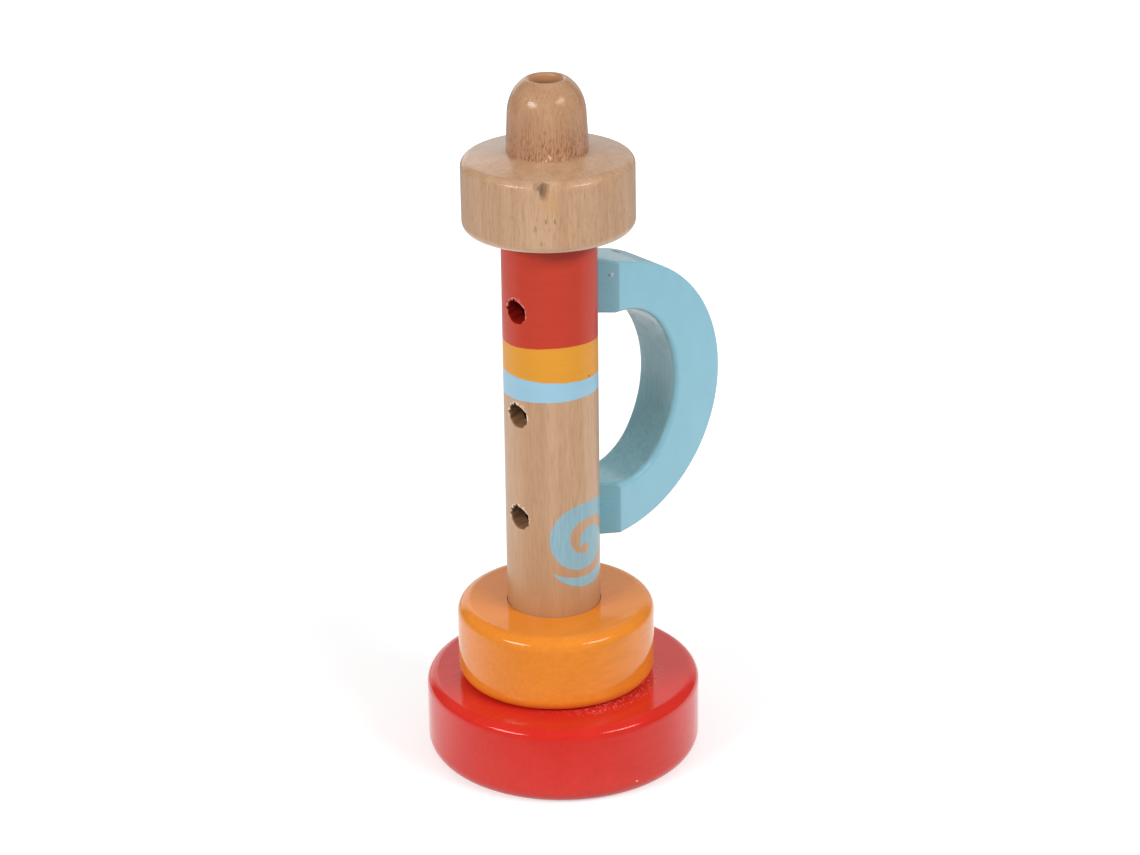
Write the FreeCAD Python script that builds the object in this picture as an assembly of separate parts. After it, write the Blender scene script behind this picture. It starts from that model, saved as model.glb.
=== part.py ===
import FreeCAD, Part
import math
import os

# Wooden toy trumpet that stands on its bell. Millimetres, +Z up.
# The origin is on the tube's axis, in the plane that the bell stands on. The handle is on the +X side.

# Tube: a round dowel, drilled through, with three finger holes in a row.
tube_diameter = 25.0
tube_wall = 4.5
tube_showing = 106.3
finger_hole_diameter = 6.3
finger_hole_count = 3
finger_hole_spacing = 29.2
first_finger_hole_below_flange = 20.2
finger_hole_turn = 184.0

# Mouthpiece: a turned flange and a domed tip in one piece of wood. It leans, because its socket is
# bored a little out of square. The lean is in degrees, towards a direction counted from +X to +Y.
flange_diameter = 44.9
flange_height = 19.2
flange_top_rise = 1.6
flange_lower_round = 2.5
flange_upper_round = 2.4
tip_foot_diameter = 21.4
tip_neck_diameter = 20.4
tip_side_height = 9.3
dome_rise = 10.5
dome_flat_radius = 2.2
blow_hole_diameter = 8.4
blow_hole_lip = 0.9
mouthpiece_lean = 1.45
mouthpiece_lean_towards = 62.0
tube_socket_depth = 11.4
tube_fit_gap = 0.1

# Ring round the foot of the tube.
orange_ring_diameter = 52.8
orange_ring_height = 21.5
orange_ring_round = 3.4
orange_hole_gap = 0.15
orange_ring_shift_x = 0.34
orange_ring_shift_y = -0.30

# Bell ring, glued under the other one a little off the middle.
red_ring_diameter = 73.5
red_ring_height = 22.2
red_upper_round = 2.8
red_lower_round = 4.7
red_ring_shift_x = 1.6
red_ring_shift_y = -1.4
throat_diameter = 20.6
throat_length = 5.0

# Handle: a D-shaped bow sawn from a board, with bevelled arm ends.
handle_thickness = 15.0
handle_middle_below_flange = 51.8
handle_outer_radius = 38.7
handle_centre_from_tube = 2.4
upper_arm_slope = 15.0
lower_arm_slope = 7.0
arm_width = 14.2
bow_width = 15.8
opening_above_handle_middle = 0.5
opening_corner_share = 0.714
opening_end_share = 1.233
handle_outer_edge_round = 0.8
handle_inner_edge_round = 1.4
arm_seat_width = 5.0
arm_bevel_angle = 47.0
arm_bevel_round = 0.6

# Dowel pins between the handle's arms and the tube's wall.
dowel_diameter = 4.0
dowel_length = 13.0
dowel_end_chamfer = 0.5
dowel_wall_left = 1.0
dowel_hole_gap = 0.05
dowel_hole_extra_depth = 0.5

# Reed unit inside the mouthpiece: a plug that holds a brass trough, its tongue and a wedge.
plug_inside_bore = 1.0
plug_length = 9.5
plug_fit_gap = 0.05
plug_hole_diameter = 6.0
plug_chamfer = 0.5
chamber_inside_plug = 1.5
chamber_length = 10.0
trough_length = 18.0
trough_wall = 0.6
trough_fit_gap = 0.03
tongue_width = 5.5
tongue_thickness = 0.2
tongue_root_length = 3.0
tongue_free_length = 7.8
tongue_rest_angle = 3.5
tongue_gap = 0.2

# Small allowance by which a cutting tool runs past what it cuts.
overrun = 1.0

# How near an edge lies to what it is sought by.
edge_tolerance = 0.01

# Heights that follow from the stack.
tube_radius = tube_diameter / 2
bore_radius = tube_radius - tube_wall
plug_radius = bore_radius - plug_inside_bore
chamber_radius = plug_radius - chamber_inside_plug
red_top = red_ring_height
orange_top = red_top + orange_ring_height
flange_bottom = orange_top + tube_showing
flange_top = flange_bottom + flange_height
tip_foot = flange_top + flange_top_rise
tip_shoulder = tip_foot + tip_side_height
dome_top = tip_shoulder + dome_rise
tube_top = flange_bottom + tube_socket_depth
plug_top = tube_top + plug_length
chamber_top = plug_top + chamber_length
handle_middle = flange_bottom - handle_middle_below_flange

# The handle's opening follows from its outside and the width of its wood.
handle_centre_x = tube_radius + handle_centre_from_tube
opening_middle = handle_middle + opening_above_handle_middle
opening_half_height = handle_outer_radius - arm_width
opening_end_x = handle_centre_x + handle_outer_radius - bow_width

Z_AXIS = FreeCAD.Vector(0, 0, 1)
X_AXIS = FreeCAD.Vector(1, 0, 0)
FULL_TURN = 360


def point(x, y, z):
    return FreeCAD.Vector(x, y, z)


def section_point(radius, height):
    """A point of a turned piece's half section, in the XZ plane."""
    return FreeCAD.Vector(radius, 0, height)


def turned(edges, shift_x=0, shift_y=0):
    """Turn a closed half section about the Z axis and set the axis where the piece stands."""
    solid = Part.Face(Part.Wire(edges)).revolve(point(0, 0, 0), Z_AXIS, FULL_TURN)
    solid.translate(point(shift_x, shift_y, 0))
    return solid


def line(start, end):
    return Part.LineSegment(start, end).toShape()


def arc(centre, radius, from_angle, to_angle):
    """An arc in the XZ plane, with angles in degrees from +X towards +Z."""
    middle_angle = (from_angle + to_angle) / 2
    on_arc = [
        point(
            centre.x + radius * math.cos(math.radians(angle)),
            0,
            centre.z + radius * math.sin(math.radians(angle)),
        )
        for angle in (from_angle, middle_angle, to_angle)
    ]
    return Part.Arc(*on_arc).toShape()


def rod(radius, start, direction, length):
    return Part.makeCylinder(radius, length, start, direction)


def save(name, shape):
    """Write one piece, as a plain list of its solids, to its own file."""
    solids = shape.Solids
    piece = solids[0] if len(solids) == 1 else Part.makeCompound(solids)
    print(name, "solids", len(solids), "valid", piece.isValid(), "volume", round(piece.Volume, 2))
    piece.exportStep(os.path.join("parts", name + ".step"))


# Tube

def finger_hole_heights():
    first = flange_bottom - first_finger_hole_below_flange
    return [first - index * finger_hole_spacing for index in range(finger_hole_count)]


def make_tube():
    length = tube_top - red_top
    tube = rod(tube_radius, point(0, 0, red_top), Z_AXIS, length)
    bore = rod(bore_radius, point(0, 0, red_top - overrun), Z_AXIS, length + 2 * overrun)
    tube = tube.cut(bore)
    turn = math.radians(finger_hole_turn)
    outwards = point(math.cos(turn), math.sin(turn), 0)
    for height in finger_hole_heights():
        drill = rod(finger_hole_diameter / 2, point(0, 0, height), outwards, tube_radius + overrun)
        tube = tube.cut(drill)
    for height in dowel_heights():
        tube = tube.cut(dowel_hole(height))
    return tube


# Mouthpiece

def make_mouthpiece():
    """Turn the outside, drill the blow hole, lean the piece and bore it upright from below."""
    flange_radius = flange_diameter / 2
    neck_radius = tip_neck_diameter / 2
    foot = section_point(tip_foot_diameter / 2, tip_foot)

    # The dome is a quarter ellipse round a small flat top.
    dome = Part.BezierCurve()
    dome.setPoles([
        section_point(neck_radius, tip_shoulder),
        section_point(neck_radius, dome_top),
        section_point(dome_flat_radius, dome_top),
    ])
    dome.setWeight(2, math.sqrt(0.5))

    lower_centre = section_point(flange_radius - flange_lower_round, flange_bottom + flange_lower_round)
    upper_centre = section_point(flange_radius - flange_upper_round, flange_top - flange_upper_round)

    # The flange's top slopes down from the tip's foot and runs smoothly into the upper rounding.
    to_foot = foot - upper_centre
    round_end = math.atan2(to_foot.z, to_foot.x) - math.acos(flange_upper_round / to_foot.Length)
    upwards = section_point(math.cos(round_end), math.sin(round_end))
    slope_end = upper_centre + upwards * flange_upper_round
    edges = [
        line(section_point(0, dome_top), section_point(dome_flat_radius, dome_top)),
        dome.toShape(),
        line(section_point(neck_radius, tip_shoulder), foot),
        line(foot, slope_end),
        arc(upper_centre, flange_upper_round, math.degrees(round_end), 0),
        line(
            section_point(flange_radius, flange_top - flange_upper_round),
            section_point(flange_radius, flange_bottom + flange_lower_round),
        ),
        arc(lower_centre, flange_lower_round, 0, -90),
        line(
            section_point(flange_radius - flange_lower_round, flange_bottom),
            section_point(0, flange_bottom),
        ),
        line(section_point(0, flange_bottom), section_point(0, dome_top)),
    ]
    body = turned(Part.sortEdges(edges)[0])
    hole_start = point(0, 0, plug_top)
    blow_hole = rod(blow_hole_diameter / 2, hole_start, Z_AXIS, dome_top - plug_top + overrun)
    body = body.cut(blow_hole)
    lip = [edge for edge in body.Edges if edge.BoundBox.ZMin > tip_shoulder]
    body = body.makeFillet(blow_hole_lip, lip)
    towards = math.radians(mouthpiece_lean_towards)
    lean_axis = point(-math.sin(towards), math.cos(towards), 0)
    body.rotate(point(0, 0, flange_bottom + flange_height / 2), lean_axis, mouthpiece_lean)
    socket = rod(
        tube_radius + tube_fit_gap,
        point(0, 0, flange_bottom - overrun),
        Z_AXIS,
        tube_socket_depth + overrun,
    )
    plug_seat = rod(
        plug_radius + plug_fit_gap,
        point(0, 0, flange_bottom),
        Z_AXIS,
        plug_top - flange_bottom,
    )
    chamber = rod(chamber_radius, point(0, 0, flange_bottom), Z_AXIS, chamber_top - flange_bottom)
    return body.cut(socket).cut(plug_seat).cut(chamber)


# Orange ring

def make_orange_ring():
    """The outside stands a little off the middle, and the hole is on the tube's axis."""
    radius = orange_ring_diameter / 2
    low = red_top + orange_ring_round
    high = orange_top - orange_ring_round
    inset = radius - orange_ring_round
    edges = [
        line(section_point(0, red_top), section_point(inset, red_top)),
        arc(section_point(inset, low), orange_ring_round, -90, 0),
        line(section_point(radius, low), section_point(radius, high)),
        arc(section_point(inset, high), orange_ring_round, 0, 90),
        line(section_point(inset, orange_top), section_point(0, orange_top)),
        line(section_point(0, orange_top), section_point(0, red_top)),
    ]
    ring = turned(edges, orange_ring_shift_x, orange_ring_shift_y)
    hole_radius = tube_radius + orange_hole_gap
    hole_length = orange_ring_height + 2 * overrun
    return ring.cut(rod(hole_radius, point(0, 0, red_top - overrun), Z_AXIS, hole_length))


# Red bell ring

def make_red_bell_ring():
    radius = red_ring_diameter / 2
    throat_radius = throat_diameter / 2
    flare_radius = red_ring_height - throat_length
    mouth_radius = throat_radius + flare_radius
    lower_inset = radius - red_lower_round
    upper_inset = radius - red_upper_round
    high = red_top - red_upper_round
    edges = [
        arc(section_point(mouth_radius, flare_radius), flare_radius, -90, -180),
        line(section_point(throat_radius, flare_radius), section_point(throat_radius, red_top)),
        line(section_point(throat_radius, red_top), section_point(upper_inset, red_top)),
        arc(section_point(upper_inset, high), red_upper_round, 90, 0),
        line(section_point(radius, high), section_point(radius, red_lower_round)),
        arc(section_point(lower_inset, red_lower_round), red_lower_round, 0, -90),
        line(section_point(lower_inset, 0), section_point(mouth_radius, 0)),
    ]
    return turned(edges, red_ring_shift_x, red_ring_shift_y)


# Handle

def outer_outline():
    """The bow's outside: an arc whose ends run on as straight arms to the tube's axis."""
    upper_angle = 90 - upper_arm_slope
    lower_angle = lower_arm_slope - 90
    centre = point(handle_centre_x, 0, handle_middle)
    bow = arc(centre, handle_outer_radius, upper_angle, lower_angle)
    upper_end = bow.Vertexes[0].Point
    lower_end = bow.Vertexes[-1].Point
    upper_inner = point(0, 0, upper_end.z + upper_end.x * math.tan(math.radians(upper_arm_slope)))
    lower_inner = point(0, 0, lower_end.z - lower_end.x * math.tan(math.radians(lower_arm_slope)))
    return Part.Wire([
        line(upper_inner, upper_end),
        bow,
        line(lower_end, lower_inner),
        line(lower_inner, upper_inner),
    ])


def opening_outline():
    """The finger opening: straight arms, two corner arcs and one flatter arc at the far end."""
    corner = opening_corner_share * opening_half_height
    end = opening_end_share * opening_half_height
    corner_drop = opening_half_height - corner
    end_centre_x = opening_end_x - end
    straight_x = end_centre_x + math.sqrt((end - corner) ** 2 - corner_drop ** 2)
    turn = math.degrees(math.atan2(corner_drop, straight_x - end_centre_x))
    upper_centre = point(straight_x, 0, opening_middle + corner_drop)
    lower_centre = point(straight_x, 0, opening_middle - corner_drop)
    end_centre = point(end_centre_x, 0, opening_middle)
    high = opening_middle + opening_half_height
    low = opening_middle - opening_half_height
    return Part.Wire([
        line(point(0, 0, high), point(straight_x, 0, high)),
        arc(upper_centre, corner, 90, turn),
        arc(end_centre, end, turn, -turn),
        arc(lower_centre, corner, -turn, -90),
        line(point(straight_x, 0, low), point(0, 0, low)),
        line(point(0, 0, low), point(0, 0, high)),
    ])


def board(outline, thickness):
    """A flat piece of the handle's board, centred on the plane y = 0."""
    face = Part.Face(outline)
    face.translate(point(0, -thickness / 2, 0))
    return face.extrude(point(0, thickness, 0))


def rim_edges(solid, outline, thickness):
    """The edges of a board that follow an outline on either of its two flat faces."""
    rims = []
    for side in (-1, 1):
        rim = outline.copy()
        rim.translate(point(0, side * thickness / 2, 0))
        rims.append(rim)
    found = []
    for edge in solid.Edges:
        middle = Part.Vertex(edge.valueAt((edge.FirstParameter + edge.LastParameter) / 2))
        if any(rim.distToShape(middle)[0] < edge_tolerance for rim in rims):
            found.append(edge)
    return found


def arm_bevels():
    """Wedges that cut the arm ends back on both sides of the narrow seat."""
    seat = arm_seat_width / 2
    seat_x = math.sqrt(tube_radius ** 2 - seat ** 2)
    reach = handle_thickness
    run = (reach - seat) * math.tan(math.radians(arm_bevel_angle))
    wedges = []
    for side in (-1, 1):
        corners = [
            point(0, side * seat, 0),
            point(seat_x, side * seat, 0),
            point(seat_x + run, side * reach, 0),
            point(0, side * reach, 0),
        ]
        outline = Part.makePolygon(corners + corners[:1])
        wedges.append(Part.Face(outline).extrude(point(0, 0, flange_bottom)))
    return wedges


def bevel_edges(solid):
    """The edges round the bevelled faces, but for those of the seat on the tube."""
    seat = arm_seat_width / 2
    found = []
    for face in solid.Faces:
        box = face.BoundBox
        slanted = box.XLength > edge_tolerance and box.YLength > edge_tolerance
        if face.Surface.TypeId != "Part::GeomPlane" or box.YLength > handle_thickness / 2 or not slanted:
            continue
        for edge in face.Edges:
            middle = edge.valueAt((edge.FirstParameter + edge.LastParameter) / 2)
            if abs(middle.y) > seat + edge_tolerance:
                found.append(edge)
    return found


def make_handle():
    outline = outer_outline()
    opening = opening_outline()
    bow = board(outline, handle_thickness)
    bow = bow.makeFillet(handle_outer_edge_round, rim_edges(bow, outline, handle_thickness))
    bow = bow.cut(board(opening, handle_thickness + 2 * overrun))
    bow = bow.makeFillet(handle_inner_edge_round, rim_edges(bow, opening, handle_thickness))
    for wedge in arm_bevels():
        bow = bow.cut(wedge)
    bow = bow.makeFillet(arm_bevel_round, bevel_edges(bow))
    bow = bow.cut(rod(tube_radius, point(0, 0, 0), Z_AXIS, flange_bottom))
    for height in dowel_heights():
        bow = bow.cut(dowel_hole(height))
    return bow


# Handle dowels

def dowel_heights():
    """Each pin sits half way up its arm, where the arm meets the tube."""
    slopes = (upper_arm_slope, lower_arm_slope)
    heights = []
    for side, slope in zip((1, -1), slopes):
        rise = math.radians(slope)
        along = handle_centre_x - tube_radius
        arm_outside = handle_outer_radius / math.cos(rise) + along * math.tan(rise)
        outside = handle_middle + side * arm_outside
        inside = opening_middle + side * opening_half_height
        heights.append((outside + inside) / 2)
    return heights


def dowel_start():
    return bore_radius + dowel_wall_left


def dowel_hole(height):
    start = point(dowel_start(), 0, height)
    return rod(dowel_diameter / 2 + dowel_hole_gap, start, X_AXIS, dowel_length + dowel_hole_extra_depth)


def make_handle_dowels():
    pins = []
    for height in dowel_heights():
        start = point(dowel_start() + dowel_hole_gap, 0, height)
        pin = rod(dowel_diameter / 2, start, X_AXIS, dowel_length)
        ends = [edge for edge in pin.Edges if edge.Curve.TypeId == "Part::GeomCircle"]
        pins.append(pin.makeChamfer(dowel_end_chamfer, ends))
    return Part.makeCompound(pins)


# Reed unit

def make_reed_plug():
    plug = rod(plug_radius, point(0, 0, tube_top), Z_AXIS, plug_length)
    rims = [edge for edge in plug.Edges if edge.Curve.TypeId == "Part::GeomCircle"]
    plug = plug.makeChamfer(plug_chamfer, rims)
    hole = rod(plug_hole_diameter / 2, point(0, 0, tube_top - overrun), Z_AXIS, plug_length + 2 * overrun)
    return plug.cut(hole)


def half_rod(radius, side, edge_x, bottom, length):
    """The part of an upright rod that lies on one side of the plane x = edge_x."""
    whole = rod(radius, point(0, 0, bottom), Z_AXIS, length)
    width = 2 * radius + overrun
    corner_x = edge_x if side > 0 else edge_x - width
    keep = Part.makeBox(width, 2 * width, length, point(corner_x, -width, bottom))
    return whole.common(keep)


def make_reed_trough():
    outer = plug_hole_diameter / 2 - trough_fit_gap
    inner = outer - trough_wall
    trough = half_rod(outer, -1, 0, tube_top, trough_length)
    hollow = rod(inner, point(0, 0, tube_top - overrun), Z_AXIS, trough_length + overrun - trough_wall)
    return trough.cut(hollow)


def make_reed_tongue():
    """A flat strip, bent at the plug's top so that its free end stands off the trough."""
    lean = math.radians(tongue_rest_angle)
    root = plug_top - tongue_root_length
    tip_x = tongue_gap + tongue_free_length * math.sin(lean)
    tip_z = plug_top + tongue_free_length * math.cos(lean)
    across = point(tongue_thickness, 0, 0)
    corners = [
        point(tongue_gap, 0, root),
        point(tongue_gap, 0, plug_top),
        point(tip_x, 0, tip_z),
    ]
    corners = corners + [corner + across for corner in reversed(corners)]
    face = Part.Face(Part.makePolygon(corners + corners[:1]))
    face.translate(point(0, -tongue_width / 2, 0))
    return face.extrude(point(0, tongue_width, 0))


def make_reed_wedge():
    radius = plug_hole_diameter / 2 - trough_fit_gap
    flat_x = 2 * tongue_gap + tongue_thickness
    return half_rod(radius, 1, flat_x, tube_top, plug_length)


pieces = {
    "tube": make_tube,
    "mouthpiece": make_mouthpiece,
    "orange_ring": make_orange_ring,
    "red_bell_ring": make_red_bell_ring,
    "handle": make_handle,
    "handle_dowels": make_handle_dowels,
    "reed_plug": make_reed_plug,
    "reed_trough": make_reed_trough,
    "reed_tongue": make_reed_tongue,
    "reed_wedge": make_reed_wedge,
}

os.makedirs("parts", exist_ok=True)
for piece_name, make_piece in pieces.items():
    save(piece_name, make_piece())
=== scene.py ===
import math
import random

import bmesh
import bpy
from mathutils import Matrix, Vector


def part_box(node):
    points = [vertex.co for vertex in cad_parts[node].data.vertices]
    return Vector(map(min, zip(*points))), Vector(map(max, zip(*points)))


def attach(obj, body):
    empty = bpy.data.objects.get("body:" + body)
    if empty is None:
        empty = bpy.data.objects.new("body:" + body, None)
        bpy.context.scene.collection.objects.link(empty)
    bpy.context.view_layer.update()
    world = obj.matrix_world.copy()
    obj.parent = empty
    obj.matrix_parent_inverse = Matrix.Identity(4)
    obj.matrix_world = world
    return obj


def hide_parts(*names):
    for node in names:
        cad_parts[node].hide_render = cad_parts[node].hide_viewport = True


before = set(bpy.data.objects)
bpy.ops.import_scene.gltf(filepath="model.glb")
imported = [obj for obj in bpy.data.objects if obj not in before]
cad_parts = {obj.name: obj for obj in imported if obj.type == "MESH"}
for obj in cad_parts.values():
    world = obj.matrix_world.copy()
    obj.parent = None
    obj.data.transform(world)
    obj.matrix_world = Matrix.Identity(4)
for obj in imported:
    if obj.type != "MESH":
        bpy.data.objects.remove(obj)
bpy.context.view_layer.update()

# Red bell ring. A thick ring turned from one block of beech and flared underneath as the bell's mouth.
# It was dipped in red gloss lacquer, which leaves an even shine over a very faint grain, and it is
# glued a little off the middle under the orange ring.
mm = 0.001


def linear(hex_colour):
    """Turn an sRGB hex colour into the linear colour that the shaders take."""
    channels = [int(hex_colour[at:at + 2], 16) / 255 for at in (1, 3, 5)]
    return [c / 12.92 if c <= 0.04045 else ((c + 0.055) / 1.055) ** 2.4 for c in channels] + [1.0]


def add_node(tree, kind, *values, **settings):
    """Add a shader node and give its first live output. The values fill its live inputs in order, and an
    output among them is linked. A setting with a capital names an input, any other one a property."""
    node = tree.nodes.new("ShaderNode" + kind)
    for name, value in settings.items():
        if name.islower():
            setattr(node, name, value)
    filled = list(zip([socket for socket in node.inputs if socket.enabled], values))
    filled += [(node.inputs[name], value) for name, value in settings.items() if not name.islower()]
    for socket, value in filled:
        if isinstance(value, bpy.types.NodeSocket):
            tree.links.new(value, socket)
        else:
            socket.default_value = value
    return next(socket for socket in node.outputs if socket.enabled)


def new_material(name):
    """Start a material and give it, its node tree, its main shader and the Object coordinates."""
    material = bpy.data.materials.new(name)
    material.use_nodes = True
    tree = material.node_tree
    place = add_node(tree, "TexCoord").node.outputs["Object"]
    return material, tree, tree.nodes["Principled BSDF"], place


def stretched_noise(tree, place, width, stretch, detail=2, turn=0, distortion=0):
    """Noise whose spots are width metres across and stretch times as long in X, Y and Z."""
    shares = [1 / length for length in stretch]
    laid = add_node(tree, "Mapping", place, Rotation=(0, 0, turn), Scale=shares)
    return add_node(tree, "TexNoise", laid, Scale=0.5 / width, Detail=detail, Distortion=distortion)


def cover(tree, shader, colour, relief, relief_depth, roughness):
    """Give a shader its colour, its relief in metres and its roughness. The IOR is that of lacquer and
    wood, which is also the default that a metal keeps."""
    tree.links.new(colour, shader.inputs["Base Color"])
    bump = add_node(tree, "Bump", Height=relief, Distance=relief_depth, Strength=1.0)
    tree.links.new(bump, shader.inputs["Normal"])
    shader.inputs["Roughness"].default_value = roughness
    shader.inputs["IOR"].default_value = 1.5


def dress(node_name, material):
    """Give a carried-over piece its finish."""
    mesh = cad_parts[node_name].data
    mesh.materials.clear()
    mesh.materials.append(material)


def marked(tree, place, centre, width, height, ragged, soft=0.4):
    """Mask of a small mark at a point of the surface, width and height across, with a ragged edge."""
    away = add_node(tree, "VectorMath", place, centre, operation="SUBTRACT")
    shares = (2 / width, 2 / width, 2 / height)
    scaled = add_node(tree, "VectorMath", away, shares, operation="MULTIPLY")
    reach = add_node(tree, "VectorMath", scaled, operation="LENGTH")
    noise = stretched_noise(tree, place, width / 4, (1, 1, 2), detail=3)
    edge = add_node(tree, "MapRange", noise, 0.3, 0.7, -ragged, ragged)
    total = add_node(tree, "Math", reach, edge, operation="ADD")
    return add_node(tree, "MapRange", total, 1 + soft, 1 - soft)


def gloss_lacquer(name, colour, deep_colour, grain_turn):
    """Opaque gloss lacquer on turned beech: even, with a slow drift in tone and faint level grain."""
    material, tree, shader, place = new_material(name)
    drift = stretched_noise(tree, place, 7 * mm, (1, 1, 1))
    deep_share = add_node(tree, "MapRange", drift, 0.35, 0.65)
    tone = add_node(tree, "Mix", deep_share, linear(colour), linear(deep_colour), data_type="RGBA")

    # The grain lies level across the block, in lines 0.4 mm wide and 16 mm long, and the lacquer dried
    # with a faint ripple 0.9 mm across.
    grain = stretched_noise(tree, place, 0.4 * mm, (40, 1, 1.5), turn=grain_turn)
    shade = add_node(tree, "MapRange", grain, 0.3, 0.7, 0.95, 1.04)
    shaded = add_node(tree, "Mix", 1.0, tone, shade, data_type="RGBA", blend_type="MULTIPLY")
    peel = stretched_noise(tree, place, 0.9 * mm, (1, 1, 1), detail=1)
    relief = add_node(tree, "Math", grain, peel, operation="ADD")
    return material, tree, shader, place, shaded, relief


red_lacquer, tree, shader, place, colour, relief = gloss_lacquer(
    "red gloss lacquer on beech", "#dc3126", "#d62b1f", math.radians(41))
gloss_relief = 0.007 * mm
gloss_roughness = 0.1

# Dust grains 0.25 mm across stuck in the wet lacquer where the two rings meet, and one chip is low down.
ring_top = 22.2 * mm
seam_middle = (0.3 * mm, -0.3 * mm, ring_top)
seam_radius, dust_radius = 27.5 * mm, 29.5 * mm
dust_middle = (4 * mm, -27 * mm, ring_top)
dust_width, dust_height = 40 * mm, 8 * mm
grains = stretched_noise(tree, place, 0.25 * mm, (1, 1, 1), detail=1)
grain_mask = add_node(tree, "MapRange", grains, 0.58, 0.66)
in_front = marked(tree, place, dust_middle, dust_width, dust_height, 0.3)
from_seam = add_node(tree, "VectorMath", place, seam_middle, operation="DISTANCE")
at_seam = add_node(tree, "MapRange", from_seam, dust_radius, seam_radius)
dusty = add_node(tree, "Math", in_front, at_seam, operation="MULTIPLY")
dust = add_node(tree, "Math", grain_mask, dusty, operation="MULTIPLY")
dust_share = add_node(tree, "Math", dust, 0.75, operation="MULTIPLY")
colour = add_node(tree, "Mix", dust_share, colour, linear("#e8908a"), data_type="RGBA")
chip_middle = (-4.3 * mm, -37.7 * mm, 4.4 * mm)
chip = marked(tree, place, chip_middle, 0.8 * mm, 0.5 * mm, 0.3)
colour = add_node(tree, "Mix", chip, colour, linear("#f0b8a8"), data_type="RGBA")
cover(tree, shader, colour, relief, gloss_relief, gloss_roughness)
dress("red_bell_ring", red_lacquer)

# Orange ring. The second ring, turned from beech, with a hole that the tube's foot is glued into. It
# has the same gloss lacquer as the bell ring, in orange.
orange_lacquer, tree, shader, _, colour, relief = gloss_lacquer(
    "orange gloss lacquer on beech", "#ec8d2f", "#e7882b", math.radians(75))
cover(tree, shader, colour, relief, gloss_relief, gloss_roughness)
dress("orange_ring", orange_lacquer)

# Tube. A 25 mm beech dowel drilled through, with three finger holes drilled in a row from one side.
# The drill tore fibres out at the upper left of each hole and chipped the lacquer opposite, and the pale
# rims round the holes are partly a painted highlight. Red, amber and pale blue bands were painted on at the
# top as it turned, and a pale blue curl low on its side.
tube_low, tube_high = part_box("tube")
tube_radius = (tube_high.y - tube_low.y) / 2
tube_wall = 4.5 * mm
tube_steps = 192

tube_mesh = bmesh.new()
section = [
    tube_mesh.verts.new((radius, 0, height))
    for radius, height in (
        (tube_radius - tube_wall, tube_low.z), (tube_radius, tube_low.z),
        (tube_radius, tube_high.z), (tube_radius - tube_wall, tube_high.z),
    )
]
section_edges = [tube_mesh.edges.new((section[at - 1], section[at])) for at in range(len(section))]
bmesh.ops.spin(
    tube_mesh, geom=section + section_edges, axis=(0, 0, 1), cent=(0, 0, 0),
    angle=math.tau, steps=tube_steps, use_merge=True,
)


def crisp(mesh_data):
    """Shade a mesh smooth and keep its edges of more than 30 degrees sharp."""
    mesh_data.shade_smooth()
    mesh_data.set_sharp_from_angle(angle=math.radians(30))


def finished_piece(name, mesh):
    """Make an object of a mesh, with its faces turned outwards and its edges kept crisp."""
    bmesh.ops.remove_doubles(mesh, verts=mesh.verts, dist=0.001 * mm)
    bmesh.ops.recalc_face_normals(mesh, faces=mesh.faces)
    data = bpy.data.meshes.new(name)
    mesh.to_mesh(data)
    mesh.free()
    piece = bpy.data.objects.new(name, data)
    bpy.context.scene.collection.objects.link(piece)
    crisp(data)
    return piece


def carve(piece, cutters):
    """Cut each cutter out of the piece, and leave no cutter and no modifier behind."""
    for cutter in cutters:
        cut = piece.modifiers.new("cut", "BOOLEAN")
        cut.operation = "DIFFERENCE"
        cut.solver = "EXACT"
        cut.object = cutter
    bpy.context.view_layer.update()
    carved = piece.evaluated_get(bpy.context.evaluated_depsgraph_get())
    piece.data = bpy.data.meshes.new_from_object(carved)
    piece.modifiers.clear()
    crisp(piece.data)
    for cutter in cutters:
        bpy.data.objects.remove(cutter)


socket_depth = 11.4 * mm
flange_bottom = tube_high.z - socket_depth
hole_radius = 3.15 * mm
first_hole = flange_bottom - 20.2 * mm
hole_spacing = 29.2 * mm
hole_heights = [first_hole - number * hole_spacing for number in range(3)]
hole_turn = math.radians(184)
torn_depth = 1.6 * mm
smooth_depth = 2.8 * mm
overshoot = 1 * mm
notch_half_width = math.radians(10)
hole_steps = 144
chance = random.Random(4)


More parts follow.
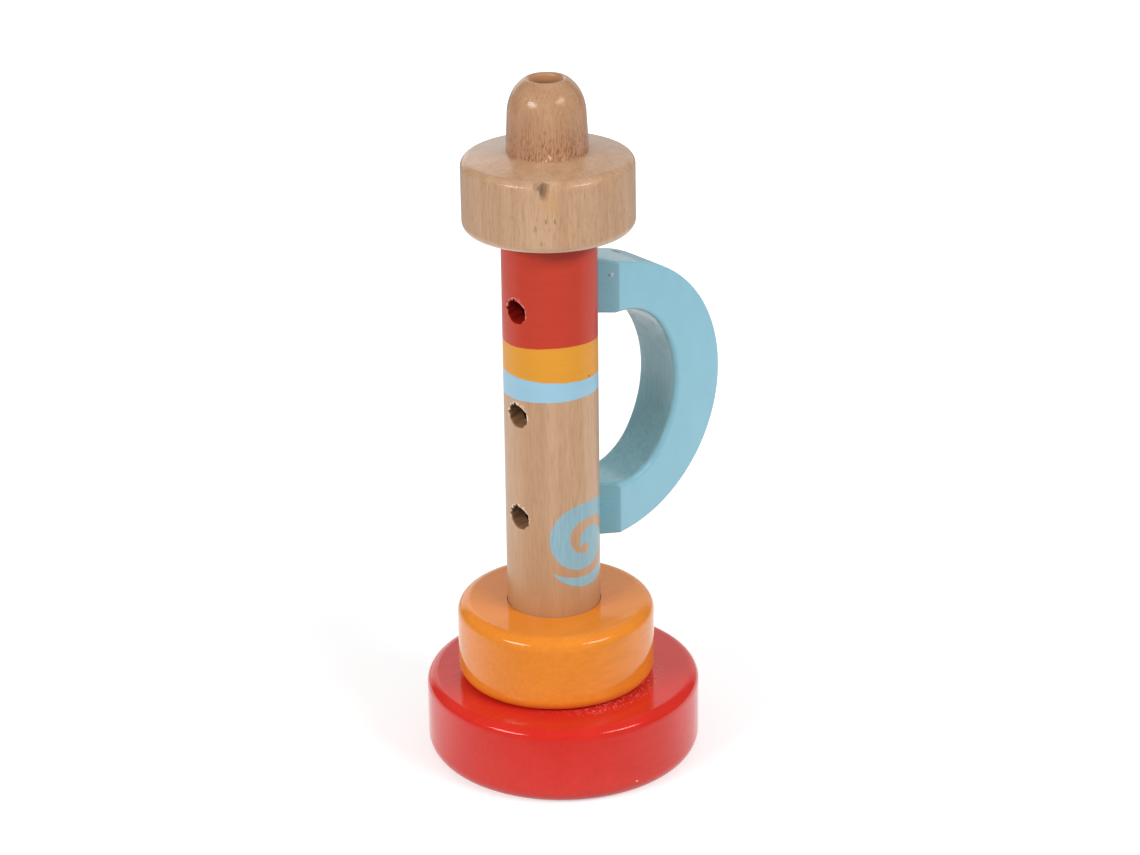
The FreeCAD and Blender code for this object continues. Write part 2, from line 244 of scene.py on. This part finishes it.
def torn_hole(height):
    """A drill's bore through the near wall, with notches where it tore fibres out of the surface."""
    # Four deep notches stand side by side at the upper left, and four shallow ones elsewhere.
    notches = [(math.radians(102 + 24 * count + chance.uniform(-4, 4)), chance.uniform(0.6, 1.05) * mm)
               for count in range(4)]
    notches += [(math.radians(angle + chance.uniform(-6, 6)), chance.uniform(0.2, 0.4) * mm)
                for angle in (-62, -26, 30, 205)]
    cutter = bmesh.new()
    bmesh.ops.create_circle(cutter, segments=hole_steps, radius=hole_radius)
    for vert in cutter.verts:
        angle = math.atan2(vert.co.y, vert.co.x)
        torn = 0
        for notch_angle, depth in notches:
            away = abs(math.remainder(angle - notch_angle, math.tau)) / notch_half_width
            torn = max(torn, depth * max(0, 1 - away) ** 0.7)
        vert.co += vert.co.normalized() * torn
        vert.co.z = tube_radius + overshoot

    # Below the surface the notches run out into the drill's round bore.
    ring = list(cutter.edges)
    levels = ((torn_depth, True), (smooth_depth, False), (tube_wall + overshoot, False))
    for depth, torn_through in levels:
        grown = bmesh.ops.extrude_edge_only(cutter, edges=ring)["geom"]
        ring = [part for part in grown if isinstance(part, bmesh.types.BMEdge)]
        for vert in [part for part in grown if isinstance(part, bmesh.types.BMVert)]:
            flat = Vector((vert.co.x, vert.co.y, 0))
            if not torn_through:
                flat = flat.normalized() * hole_radius
            vert.co = flat + Vector((0, 0, tube_radius - depth))
    bmesh.ops.holes_fill(cutter, edges=[edge for edge in cutter.edges if edge.is_boundary])

    # The bore's own Z turns to the drilling direction and its Y to the tube's Z.
    outward = Vector((math.cos(hole_turn), math.sin(hole_turn), 0))
    across = Vector((0, 0, 1)).cross(outward)
    turned = Matrix((across, (0, 0, 1), outward)).transposed().to_4x4()
    bmesh.ops.transform(cutter, matrix=Matrix.Translation((0, 0, height)) @ turned, verts=cutter.verts)
    return finished_piece("torn_hole", cutter)


def dowel_hole(height, inner_end, radius):
    """A plain hole for one of the handle's dowels, from its inner end out through the tube's wall."""
    steps = 48
    cutter = bmesh.new()
    bmesh.ops.create_cone(cutter, cap_ends=True, segments=steps, radius1=radius, radius2=radius,
                          depth=tube_radius)
    middle = Matrix.Translation((inner_end + tube_radius / 2, 0, height))
    bmesh.ops.transform(cutter, matrix=middle @ Matrix.Rotation(math.pi / 2, 4, "Y"), verts=cutter.verts)
    return finished_piece("dowel_hole", cutter)


dowels_low, dowels_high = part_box("handle_dowels")
dowel_radius = (dowels_high.y - dowels_low.y) / 2
dowel_room, dowel_end_room = 0.05 * mm, 0.5 * mm
tube = finished_piece("drilled_tube", tube_mesh)
carve(tube, [torn_hole(height) for height in hole_heights] + [
    dowel_hole(height, dowels_low.x - dowel_end_room, dowel_radius + dowel_room)
    for height in (dowels_low.z + dowel_radius, dowels_high.z - dowel_radius)
])
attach(tube, "trumpet")
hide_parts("tube")


def beech_grain(tree, place, pale, deep, fleck, fleck_share, fleck_length=2.2):
    """Beech with its grain along Z. Gives its colour, the light and shade of its fibres, and its relief."""
    bands = stretched_noise(tree, place, 2.4 * mm, (1, 1, 22), distortion=0.4)
    pale_share = add_node(tree, "MapRange", bands, 0.32, 0.68)
    toned = add_node(tree, "Mix", pale_share, linear(deep), linear(pale), data_type="RGBA")

    # Ray flecks are 0.3 mm wide. The fibres are drawn 0.22 mm wide, coarser than beech's, to show.
    fleck_width = 0.3
    flecks = stretched_noise(tree, place, fleck_width * mm, (1, 1, fleck_length / fleck_width), detail=1)
    fleck_mask = add_node(tree, "MapRange", flecks, 0.56, 0.70, 0.0, fleck_share)
    flecked = add_node(tree, "Mix", fleck_mask, toned, linear(fleck), data_type="RGBA")
    fibres = stretched_noise(tree, place, 0.22 * mm, (1, 1, 14))
    shade = add_node(tree, "MapRange", fibres, 0.3, 0.7, 0.91, 1.08)
    shaded = add_node(tree, "Mix", 1.0, flecked, shade, data_type="RGBA", blend_type="MULTIPLY")
    relief = add_node(tree, "Math", fibres, fleck_mask, operation="SUBTRACT")
    return shaded, shade, relief


tube_finish, tree, shader, place = new_material("clear lacquer and paint on beech dowel")
wood, fibre_shade, relief = beech_grain(tree, place, "#cba482", "#c09673", "#9a7252", 0.16)
split = add_node(tree, "SeparateXYZ", place).node.outputs
up = add_node(tree, "Math", split["Z"], mm, operation="DIVIDE")

# The wall unrolled in millimetres: along it from the line that faces -Y, and up from the table.
faced = add_node(tree, "VectorRotate", place, Angle=math.pi / 2, rotation_type="Z_AXIS")
faced_split = add_node(tree, "SeparateXYZ", faced).node.outputs
around = add_node(tree, "Math", faced_split["Y"], faced_split["X"], operation="ARCTAN2")
along = add_node(tree, "Math", around, tube_radius / mm, operation="MULTIPLY")
unrolled = add_node(tree, "CombineXYZ", along, up)
edge_noise = stretched_noise(tree, place, 1.2 * mm, (1, 1, 1), detail=3)
edge_wander = add_node(tree, "MapRange", edge_noise, 0.3, 0.7, -0.08, 0.08)

# A soft darker streak 3 mm wide runs up the wood in front. Towards the foot the wood is painted warmer and
# darker, partly its own tone and partly painted shade and painted orange light reflected from the ring
# below.
streak_along = -11.4
from_streak = add_node(tree, "Math", along, streak_along, operation="SUBTRACT")
off_streak = add_node(tree, "Math", from_streak, operation="ABSOLUTE")
streak_shade = add_node(tree, "MapRange", off_streak, 0.4, 2.2, 0.92, 1.0)
streaked = add_node(tree, "Mix", 1.0, wood, streak_shade, data_type="RGBA", blend_type="MULTIPLY")
warm_foot_and_shade_share = add_node(tree, "MapRange", up, 45, 72, 0.7, 0.0)
painted = add_node(tree, "Mix", warm_foot_and_shade_share, streaked, linear("#ba8458"), data_type="RGBA")


def arc(tree, centre, radius, side=1):
    """Signed distance in mm to a circle on the unrolled wall: negative inside, or outside with side -1."""
    reach = add_node(tree, "VectorMath", unrolled, (centre[0], centre[1], 0), operation="DISTANCE")
    return add_node(tree, "Math", reach, side, -side * radius, operation="MULTIPLY_ADD")


def joined(tree, operation, *shapes):
    """Overlay shapes: MINIMUM is all of them together, MAXIMUM is what they share."""
    result = shapes[0]
    for shape in shapes[1:]:
        result = add_node(tree, "Math", result, shape, operation=operation)
    return result


# The curl is cut from arcs, each given by its centre from the middle of the main disc.
curl_middle = Vector((-0.31, 66.2))


def curl_arc(across, rise, radius, side=1):
    """One arc of the curl."""
    return arc(tree, curl_middle + Vector((across, rise)), radius, side)


main_disc = curl_arc(0, 0, 9.5)
upper_arm = joined(tree, "MAXIMUM", curl_arc(2, -8.2, 17.7), curl_arc(3, -3.7, 8.6, -1),
                   curl_arc(-34, -65.3, 80, -1), curl_arc(82, 0, 82))
hook = joined(tree, "MAXIMUM", curl_arc(0.8, -0.1, 4.8), curl_arc(2.9, -1.6, 3.95, -1))
hook_end = curl_arc(0.5, -3.5, 1.45)
hook_mouth = joined(tree, "MAXIMUM", curl_arc(3, -3.7, 8.6), curl_arc(-1.7, -13.2, 16.1, -1),
                    curl_arc(2.9, -1.6, 3.95, -1), curl_arc(83.5, 0, 82))
gap = joined(tree, "MINIMUM", hook, hook_end, hook_mouth)
gap_outside = add_node(tree, "Math", gap, -1.0, operation="MULTIPLY")
body = joined(tree, "MAXIMUM", joined(tree, "MINIMUM", main_disc, upper_arm), gap_outside)
swoosh = joined(tree, "MAXIMUM", curl_arc(1.8, -1.2, 13.5), curl_arc(0.4, 7.8, 19.5, -1))
curl = joined(tree, "MINIMUM", body, swoosh)
curl_edge = add_node(tree, "Math", curl, edge_wander, operation="ADD")
curl_mask = add_node(tree, "MapRange", curl_edge, 0.08, -0.08)
curl_paint = add_node(tree, "Mix", 1.0, linear("#90b5c1"), fibre_shade, data_type="RGBA",
                      blend_type="MULTIPLY")
painted = add_node(tree, "Mix", curl_mask, painted, curl_paint, data_type="RGBA")


def above(height, swing, waves, phase):
    """Mask of the wall above a painted edge, which swings up and down by swing mm round the tube."""
    turn = add_node(tree, "Math", around, waves, math.radians(phase), operation="MULTIPLY_ADD")
    wave = add_node(tree, "Math", turn, operation="COSINE")
    edge = add_node(tree, "Math", wave, swing, height, operation="MULTIPLY_ADD")
    rough_edge = add_node(tree, "Math", edge, edge_wander, operation="ADD")
    over = add_node(tree, "Math", up, rough_edge, operation="SUBTRACT")
    return add_node(tree, "MapRange", over, -0.06, 0.06)


# Each band is painted over the last from its lower edge up. Brush streaks run level, 0.35 mm tall.
brush_streaks = stretched_noise(tree, place, 0.35 * mm, (30, 30, 1))
brush_shade = add_node(tree, "MapRange", brush_streaks, 0.3, 0.7, 0.975, 1.025)
for mask, paint_colour in (
    (above(105.3, 0.7, 1, 3), "#9bc7dc"), (above(111.0, 0.75, 1, 101), "#e49b2c"),
    (above(120.5, 0.5, 2, 48), "#c53b25"),
):
    paint = add_node(tree, "Mix", 1.0, linear(paint_colour), brush_shade, data_type="RGBA",
                     blend_type="MULTIPLY")
    painted = add_node(tree, "Mix", mask, painted, paint, data_type="RGBA")

# A small nick in the amber band's lower edge, on the handle's side, shows dark wood.
nick_middle = (2.53, 111.3)
nick = add_node(tree, "MapRange", arc(tree, nick_middle, 0.3), 0.15, -0.15)
painted = add_node(tree, "Mix", nick, painted, linear("#7a4a22"), data_type="RGBA")

# Round each hole pale crescents are painted, a thin one on the upper right and a broken one round the torn
# fibres on the upper left. They are partly lacquer chipped to pale wood and partly a painted highlight
# along the hole's edge. The top hole's are stained by the red paint.
hole_along = (hole_turn - math.radians(270)) * tube_radius / mm
rim = hole_radius / mm
hole_chip_and_highlight_share = 0.9
hole_rim_noise = stretched_noise(tree, place, 0.5 * mm, (1, 1, 1), detail=2)
hole_rim_wander = add_node(tree, "MapRange", hole_rim_noise, 0.3, 0.7, -0.15, 0.25)
red_paint_foot = 118
in_red = above(red_paint_foot, 0, 1, 0)
# Pale chipped wood, partly a painted highlight on the hole's edge.
hole_chip_and_highlight_colour = add_node(tree, "Mix", in_red, linear("#efd9c2"), linear("#dd8a7c"), data_type="RGBA")
for height in hole_heights:
    for side, outer, inner in ((-0.5, rim + 0.36, rim + 0.58), (0.5, rim + 0.85, rim + 0.95)):
        crescent = joined(
            tree, "MAXIMUM", arc(tree, (hole_along, height / mm), outer),
            arc(tree, (hole_along + side, height / mm - 0.5), inner, -1))
        hole_chip_and_highlight_edge = add_node(tree, "Math", crescent, hole_rim_wander, operation="ADD")
        hole_chip_and_highlight_mask = add_node(tree, "MapRange", hole_chip_and_highlight_edge, 0.05, -0.05, 0.0, hole_chip_and_highlight_share)
        painted = add_node(tree, "Mix", hole_chip_and_highlight_mask, painted, hole_chip_and_highlight_colour, data_type="RGBA")

# The bore is bare wood with the drill's scored lines, 0.3 mm apart, stained red under the red band.
radial = add_node(tree, "VectorMath", place, (1, 1, 0), operation="MULTIPLY")
radius_here = add_node(tree, "VectorMath", radial, operation="LENGTH")
bored = add_node(tree, "MapRange", radius_here, tube_radius - 0.15 * mm, tube_radius - 0.5 * mm)
bore_colour = add_node(tree, "Mix", in_red, linear("#b98c68"), linear("#c4261c"), data_type="RGBA")
scored = stretched_noise(tree, place, 0.3 * mm, (10, 1, 1), turn=-hole_turn)
score_shade = add_node(tree, "MapRange", scored, 0.3, 0.7, 0.6, 1.2)
bore_tone = add_node(tree, "Mix", 1.0, bore_colour, score_shade, data_type="RGBA", blend_type="MULTIPLY")

# The bore is painted darker above each hole's middle, as painted shade under the hole's upper edge. The
# height is taken from the nearest hole.
half_spacing = hole_spacing / mm / 2
from_lowest = add_node(tree, "Math", up, hole_heights[-1] / mm, operation="SUBTRACT")
from_hole = add_node(tree, "Math", from_lowest, half_spacing, -half_spacing, operation="WRAP")
bore_top_shade = add_node(tree, "MapRange", from_hole, -2.6, 2.4, 1.0, 0.3)
bore_tone = add_node(tree, "Mix", 1.0, bore_tone, bore_top_shade, data_type="RGBA", blend_type="MULTIPLY")
painted = add_node(tree, "Mix", bored, painted, bore_tone, data_type="RGBA")
cover(tree, shader, painted, relief, 0.012 * mm, 0.34)
tube.data.materials.clear()
tube.data.materials.append(tube_finish)

# Handle. A D-shaped bow band-sawn from a 15 mm board, its edges eased and its arm ends bevelled, then
# lacquered light blue. The board's faces are even, and the sawn edge shows upright streaks of grain.
handle_low, handle_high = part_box("handle")
handle_half = (handle_high.y - handle_low.y) / 2
blue_lacquer, tree, shader, place = new_material("light blue lacquer on sawn beech")
split = add_node(tree, "SeparateXYZ", place).node.outputs
inset = add_node(tree, "Math", split["Y"], operation="ABSOLUTE")
sawn = add_node(tree, "MapRange", inset, handle_half - 0.4 * mm, handle_half - 1.2 * mm)
saw_streaks = stretched_noise(tree, place, 0.45 * mm, (1, 1, 9), detail=3, distortion=0.5)
streak_share = add_node(tree, "MapRange", saw_streaks, 0.35, 0.65)
streak_tone = add_node(tree, "Mix", streak_share, linear("#8ebfcc"), linear("#99c9d5"), data_type="RGBA")
patches = stretched_noise(tree, place, 3 * mm, (1, 1, 2))
patch_share = add_node(tree, "MapRange", patches, 0.3, 0.7)
face_tone = add_node(tree, "Mix", patch_share, linear("#8fc4d5"), linear("#93c8d9"), data_type="RGBA")
tone = add_node(tree, "Mix", sawn, face_tone, streak_tone, data_type="RGBA")

# Pores 1.4 mm across show dark through the thin lacquer on the opening's sawn wall, most on its upper
# half and not on top of the upper arm. Crowding them on the upper half is also painted shade, and leaves
# the wall's lower part lighter.
opening_reach, opening_fade = 38 * mm, 6 * mm
pores = stretched_noise(tree, place, 1.4 * mm, (1, 1, 1.6), detail=4)
pore_share = add_node(tree, "MapRange", pores, 0.48, 0.60, 0.0, 0.6)
in_opening = add_node(tree, "MapRange", split["X"], opening_reach, opening_reach - opening_fade)
half_up = add_node(tree, "MapRange", split["Z"], 84 * mm, 100 * mm, 0.2, 1.0)
under_arm = add_node(tree, "MapRange", split["Z"], 126 * mm, 122 * mm)
porous_and_shaded = in_opening
for share in (sawn, half_up, under_arm):
    porous_and_shaded = add_node(tree, "Math", porous_and_shaded, share, operation="MULTIPLY")
pores_and_painted_shade = add_node(tree, "Math", pore_share, porous_and_shaded, operation="MULTIPLY")
tone = add_node(tree, "Mix", pores_and_painted_shade, tone, linear("#5c8791"), data_type="RGBA")

# The bevels show the cutter's wavy ripples, 0.6 mm apart.
bevel_reach = 17.4 * mm
ripple_spacing = 0.6 * mm
bevelled = add_node(tree, "MapRange", split["X"], bevel_reach + 0.3 * mm, bevel_reach - 0.3 * mm)
on_bevel = add_node(tree, "Math", bevelled, sawn, operation="MULTIPLY")
ripples = add_node(tree, "TexWave", place, Scale=math.tau / (20 * ripple_spacing), Distortion=14.0,
                   Detail=2.0, bands_direction="Z").node.outputs["Fac"]
ripple_shade = add_node(tree, "MapRange", ripples, 0, 1, 0.94, 1.05)
bevel_tone = add_node(tree, "Mix", 1.0, linear("#89c3d3"), ripple_shade, data_type="RGBA",
                      blend_type="MULTIPLY")
tone = add_node(tree, "Mix", on_bevel, tone, bevel_tone, data_type="RGBA")

# A knock on top of the upper arm took a sliver off. Below it a pale run of glue dried on the bevel
# beside a dark pore. Each mark has its middle, width and height in mm.
for centre, width, height, mark_colour in (
    ((26.0, 3.2, 135.2), 2.1, 1.8, "#2f4a52"), ((16.27, -6.25, 134.1), 0.45, 1.3, "#c9dfe1"),
    ((15.6, -5.6, 133.9), 0.6, 0.6, "#668993"),
):
    mark = marked(tree, place, Vector(centre) * mm, width * mm, height * mm, 0.4)
    tone = add_node(tree, "Mix", mark, tone, linear(mark_colour), data_type="RGBA")
peel = stretched_noise(tree, place, 0.9 * mm, (1, 1, 1), detail=1)
relief = add_node(tree, "Math", saw_streaks, sawn, peel, operation="MULTIPLY_ADD")
cover(tree, shader, tone, relief, 0.02 * mm, 0.17)
dress("handle", blue_lacquer)

# Handle dowels and reed plug. Plain beech, turned and left bare inside the toy. The dowels are glued
# into the handle's arms and the tube's wall, and the plug is pressed into the mouthpiece.
bare_beech, tree, shader, place = new_material("bare turned beech")
wood, _, relief = beech_grain(tree, place, "#dcc2a0", "#cfb08a", "#a88660", 0.4)
cover(tree, shader, wood, relief, 0.02 * mm, 0.6)
dress("handle_dowels", bare_beech)
dress("reed_plug", bare_beech)

# Reed trough and tongue. Rolled brass, the trough pressed to shape and the tongue cut from strip.
# Rolling leaves fine lines along the strip, which draw its shine out across them.
brass, tree, shader, place = new_material("rolled brass sheet")
rolled = stretched_noise(tree, place, 0.06 * mm, (1, 1, 40))
pale_share = add_node(tree, "MapRange", rolled, 0.3, 0.7)
toned = add_node(tree, "Mix", pale_share, linear("#c8a458"), linear("#d8b66a"), data_type="RGBA")
shader.inputs["Metallic"].default_value = 1.0
cover(tree, shader, toned, rolled, 0.003 * mm, 0.3)
dress("reed_trough", brass)
dress("reed_tongue", brass)

# Reed wedge. A sliver of cork that clamps the tongue's root to the trough. Cork is a mass of cells
# about 0.5 mm across with dark pores between them.
cork, tree, shader, place = new_material("cut cork")
cells = add_node(tree, "TexVoronoi", place, Scale=1 / (0.5 * mm))
pores = stretched_noise(tree, place, 0.4 * mm, (1, 1, 1), detail=3)
wall_share = add_node(tree, "MapRange", cells, 0.2, 0.7)
toned = add_node(tree, "Mix", wall_share, linear("#b88d5e"), linear("#a47a4c"), data_type="RGBA")
pore_share = add_node(tree, "MapRange", pores, 0.58, 0.66)
toned = add_node(tree, "Mix", pore_share, toned, linear("#5e3f24"), data_type="RGBA")
cover(tree, shader, toned, cells, 0.05 * mm, 0.8)
dress("reed_wedge", cork)

# Mouthpiece. One turned block of beech under clear gloss lacquer, a domed tip on a thick round flange.
# Its grain stands upright, with short dark flecks at the tip's foot, and a small knot shows in front.
gloss_beech, tree, shader, place = new_material("clear gloss lacquer on turned beech")
lean = math.radians(1.45)
lean_towards = math.radians(62)
lean_axis = (-math.sin(lean_towards), math.cos(lean_towards), 0)
flange_radius, flange_half_height = 22.45 * mm, 9.6 * mm
flange_middle = Vector((0, 0, flange_bottom + flange_half_height))
upright = add_node(tree, "VectorRotate", place, Center=flange_middle, Angle=-lean, Axis=lean_axis)
wood, _, relief = beech_grain(tree, upright, "#c7a181", "#bc9371", "#90623c", 0.22, 1.2)
split = add_node(tree, "SeparateXYZ", upright).node.outputs
from_bottom = add_node(tree, "Math", split["Z"], flange_bottom, operation="SUBTRACT")
rise = add_node(tree, "Math", from_bottom, mm, operation="DIVIDE")

# The tip is end-turned and soaked up more lacquer, so it is deeper and more orange towards its foot,
# where the tool left dark dashes 0.8 mm long and, right at the foot, a few bright ones.
foot_rise, neck_rise = 20.8, 30.1
deeper = add_node(tree, "Mix", 1.0, wood, linear("#f0e2dd"), data_type="RGBA", blend_type="MULTIPLY")
paler = add_node(tree, "Mix", 1.0, wood, linear("#f2eae3"), data_type="RGBA", blend_type="MULTIPLY")
pale_share = add_node(tree, "MapRange", rise, foot_rise + 3, neck_rise + 2)
tip_tone = add_node(tree, "Mix", pale_share, deeper, paler, data_type="RGBA")
dashes = stretched_noise(tree, upright, 0.2 * mm, (1, 1, 4), detail=2, distortion=0.3)
dash_mask = add_node(tree, "MapRange", dashes, 0.50, 0.64, 0.0, 0.6)
low_on_tip = add_node(tree, "MapRange", rise, neck_rise + 1, foot_rise + 4)
dash_share = add_node(tree, "Math", dash_mask, low_on_tip, operation="MULTIPLY")
tip_tone = add_node(tree, "Mix", dash_share, tip_tone, linear("#84502c"), data_type="RGBA")
foot_front = (-6.2 * mm, -8.2 * mm, flange_bottom + (foot_rise + 0.9) * mm)
ticks = stretched_noise(tree, upright, 0.26 * mm, (1, 1, 3), detail=1)
tick_mask = add_node(tree, "MapRange", ticks, 0.57, 0.64, 0.0, 0.85)
at_foot_front = marked(tree, upright, foot_front, 8 * mm, 3 * mm, 0.5)
tick_share = add_node(tree, "Math", tick_mask, at_foot_front, operation="MULTIPLY")
tip_tone = add_node(tree, "Mix", tick_share, tip_tone, linear("#efc795"), data_type="RGBA")
on_tip = add_node(tree, "MapRange", rise, foot_rise - 0.3, foot_rise + 0.3)
toned = add_node(tree, "Mix", on_tip, wood, tip_tone, data_type="RGBA")

# Marks on the flange's side, each by its turn round the flange and its rise: the knot with a fainter
# lobe and tail, an amber patch and four flecks.
for turn, mark_rise, width, height, mark_colour, share in (
    (-133.5, 17.6, 2.4, 3.8, "#5c4536", 0.85), (-135.8, 18.3, 2.3, 2.8, "#7a5746", 0.6),
    (-134.4, 15.7, 1.1, 1.8, "#80624a", 0.5), (-129.6, 13.5, 4.5, 7.0, "#c79a66", 0.5),
    (-132.4, 9.0, 0.5, 1.3, "#8f6238", 0.7), (-126.6, 9.0, 0.5, 1.3, "#8f6238", 0.7),
    (-139.2, 7.1, 0.6, 1.5, "#8a6a4c", 0.6), (-135.5, 3.2, 0.5, 1.3, "#94714f", 0.6),
):
    turned = math.radians(turn)
    centre = Vector((math.cos(turned), math.sin(turned), 0)) * flange_radius
    centre.z = flange_bottom + mark_rise * mm
    mark = marked(tree, upright, centre, width * mm, height * mm, 0.5, 0.5)
    mark_share = add_node(tree, "Math", mark, share, operation="MULTIPLY")
    toned = add_node(tree, "Mix", mark_share, toned, linear(mark_colour), data_type="RGBA")

# The flange's lower rim is painted paler, palest along its last millimetre, as painted light reflected up
# from the white table.
level_place = add_node(tree, "VectorMath", upright, (1, 1, 0), operation="MULTIPLY")
from_axis = add_node(tree, "VectorMath", level_place, operation="LENGTH")
at_rim = add_node(tree, "MapRange", from_axis, flange_radius - 4 * mm, flange_radius - 3 * mm)
for top, full, share, rim_light_colour in ((2.6, 1.4, 0.35, "#dcbb9e"), (1.2, 0.5, 0.85, "#f0dac0")):
    lit_rim_mask = add_node(tree, "MapRange", rise, top, full, 0.0, share)
    lit_rim_share = add_node(tree, "Math", lit_rim_mask, at_rim, operation="MULTIPLY")
    toned = add_node(tree, "Mix", lit_rim_share, toned, linear(rim_light_colour), data_type="RGBA")

# The blow hole's wall is bare and warm below its rounded lip, and gets darker 2 to 4 mm down.
blow_hole_radius = 4.2 * mm
tip_rise = 40.6
bored = add_node(tree, "MapRange", from_axis, blow_hole_radius + 0.08 * mm, blow_hole_radius + 0.01 * mm)
depth_shade = add_node(tree, "MapRange", rise, tip_rise - 4, tip_rise - 2.2, 0.5, 1.0)
bore_tone = add_node(tree, "Mix", 1.0, linear("#c48e67"), depth_shade, data_type="RGBA",
                     blend_type="MULTIPLY")
toned = add_node(tree, "Mix", bored, toned, bore_tone, data_type="RGBA")
cover(tree, shader, toned, relief, 0.014 * mm, 0.22)
dress("mouthpiece", gloss_beech)

# Camera, table and lights. The camera looks down at the toy from its left front. Two soft boxes stand
# at its sides. The lacquer's shine shows only a dimmer pair of panels there, and a white wall behind.
camera_at = Vector((-564.67, -656.97, 477.225)) * mm
camera_forward = Vector((0.59982, 0.69003, -0.40514))
camera_roll = math.radians(-0.706)
focal_pixels = 3600
photo_width = 1140
camera_data = bpy.data.cameras.new("camera")
camera_data.sensor_width = 36
camera_data.lens = focal_pixels / photo_width * camera_data.sensor_width
camera_data.clip_start = 10 * mm
camera = bpy.data.objects.new("camera", camera_data)
bpy.context.scene.collection.objects.link(camera)
level = camera_forward.to_track_quat("-Z", "Y").to_matrix().to_4x4()
camera.matrix_world = Matrix.Translation(camera_at) @ level @ Matrix.Rotation(camera_roll, 4, "Z")
bpy.context.scene.camera = camera

aim = Vector((0, 0, 95 * mm))
soft_box_distance = 1.6
soft_box_width, soft_box_height = 0.8, 0.28
soft_box_power = 13
camera_turn = math.atan2(camera_at.y, camera_at.x)
panel_places = []
for name, side, lift in (("left soft box", -49, 27), ("right soft box", 52, 34)):
    turn = camera_turn + math.radians(side)
    lift = math.radians(lift)
    toward = Vector((math.cos(turn) * math.cos(lift), math.sin(turn) * math.cos(lift), math.sin(lift)))
    panel_places.append((turn, toward))
    light = bpy.data.lights.new(name, "AREA")
    light.shape = "RECTANGLE"
    light.size = soft_box_width
    light.size_y = soft_box_height
    light.energy = soft_box_power
    soft_box = bpy.data.objects.new(name, light)
    soft_box.location = aim + soft_box_distance * toward
    soft_box.rotation_euler = (-toward).to_track_quat("-Z", "Y").to_euler()
    soft_box.visible_glossy = False
    bpy.context.scene.collection.objects.link(soft_box)

table_half_side = 3
table_mesh = bmesh.new()
bmesh.ops.create_grid(table_mesh, x_segments=1, y_segments=1, size=table_half_side)
table = finished_piece("table", table_mesh)
white, tree, shader, place = new_material("matt white table")
shader.inputs["Roughness"].default_value = 0.9
shader.inputs["Specular IOR Level"].default_value = 0.0
rays = add_node(tree, "LightPath").node.outputs

# The table fades to plain white far off. In the lacquer's shine it is bright only close behind the toy.
away_from_camera = (camera_forward * Vector((1, 1, 0))).normalized()
behind = add_node(tree, "VectorMath", place, away_from_camera, operation="DOT_PRODUCT")
far = add_node(tree, "VectorMath", place, operation="LENGTH")
behind_toy = add_node(tree, "MapRange", behind, -0.085, -0.01)
close_by = add_node(tree, "MapRange", far, 0.4, 0.2, 0.3, 1.0)
shine = add_node(tree, "Math", behind_toy, close_by, operation="MULTIPLY")
no_shine = add_node(tree, "Math", 1.0, shine, operation="SUBTRACT")
dimmed = add_node(tree, "Math", no_shine, rays["Is Glossy Ray"], operation="MULTIPLY")
paint = add_node(tree, "Mix", dimmed, linear("#d0d0d0"), linear("#808080"), data_type="RGBA")
tree.links.new(paint, shader.inputs["Base Color"])
seen_share = add_node(tree, "MapRange", far, 0.1, 0.7, 0.55, 1.0)
seen_glow = add_node(tree, "Math", rays["Is Camera Ray"], seen_share, operation="MULTIPLY")
shine_share = add_node(tree, "MapRange", shine, 0, 1, 0.0, 0.62)
shine_glow = add_node(tree, "Math", rays["Is Glossy Ray"], shine_share, operation="MULTIPLY")
glow = add_node(tree, "Math", seen_glow, shine_glow, operation="MAXIMUM")
tree.links.new(glow, shader.inputs["Emission Strength"])
shader.inputs["Emission Color"].default_value = linear("#ffffff")
table.data.materials.append(white)

world = bpy.data.worlds.new("white surround")
bpy.context.scene.world = world
world.use_nodes = True
tree = world.node_tree
background = tree.nodes["Background"]
direction = add_node(tree, "TexCoord").node.outputs["Generated"]
upward = add_node(tree, "SeparateXYZ", direction).node.outputs["Z"]

# Behind the toy a white wall reaches 35 degrees up and about 38 to each side, brighter on the left
# where the daylight comes in, and elsewhere it is dim.
dim_glow = 0.12
behind = add_node(tree, "VectorMath", direction, away_from_camera, operation="DOT_PRODUCT")
below_top = add_node(tree, "MapRange", upward, 0.62, 0.52)
between_sides = add_node(tree, "MapRange", behind, 0.72, 0.86)
wall_here = add_node(tree, "Math", below_top, between_sides, operation="MULTIPLY")
camera_left = away_from_camera.cross((0, 0, -1))
leftward = add_node(tree, "VectorMath", direction, camera_left, operation="DOT_PRODUCT")
wall_glow = add_node(tree, "MapRange", leftward, 0.02, 0.16, 0.86, 1.5)
surround = add_node(tree, "Mix", wall_here, dim_glow, wall_glow)

# Each panel is an oval about 30 degrees wide and 9 tall in the direction of its soft box.
panel_reach = (0.5, 0.25, 0.072)
for (turn, toward), panel_glow in zip(panel_places, (11.5, 8.0)):
    offset = add_node(tree, "Mapping", direction, Location=toward, Rotation=(0, 0, turn),
                      Scale=panel_reach, vector_type="TEXTURE")
    reach = add_node(tree, "VectorMath", offset, operation="LENGTH")
    panel = add_node(tree, "MapRange", reach, 1.15, 0.85, 0.0, panel_glow)
    surround = add_node(tree, "Math", surround, panel, operation="MAXIMUM")
from_above = add_node(tree, "MapRange", upward, 0, 1, 0.31, 0.53)
rays = add_node(tree, "LightPath").node.outputs
unseen = add_node(tree, "Mix", rays["Is Glossy Ray"], from_above, surround)
strength = add_node(tree, "Mix", rays["Is Camera Ray"], unseen, 1.0)
tree.links.new(strength, background.inputs["Strength"])
background.inputs["Color"].default_value = linear("#ffffff")
bpy.context.scene.view_settings.view_transform = "Standard"
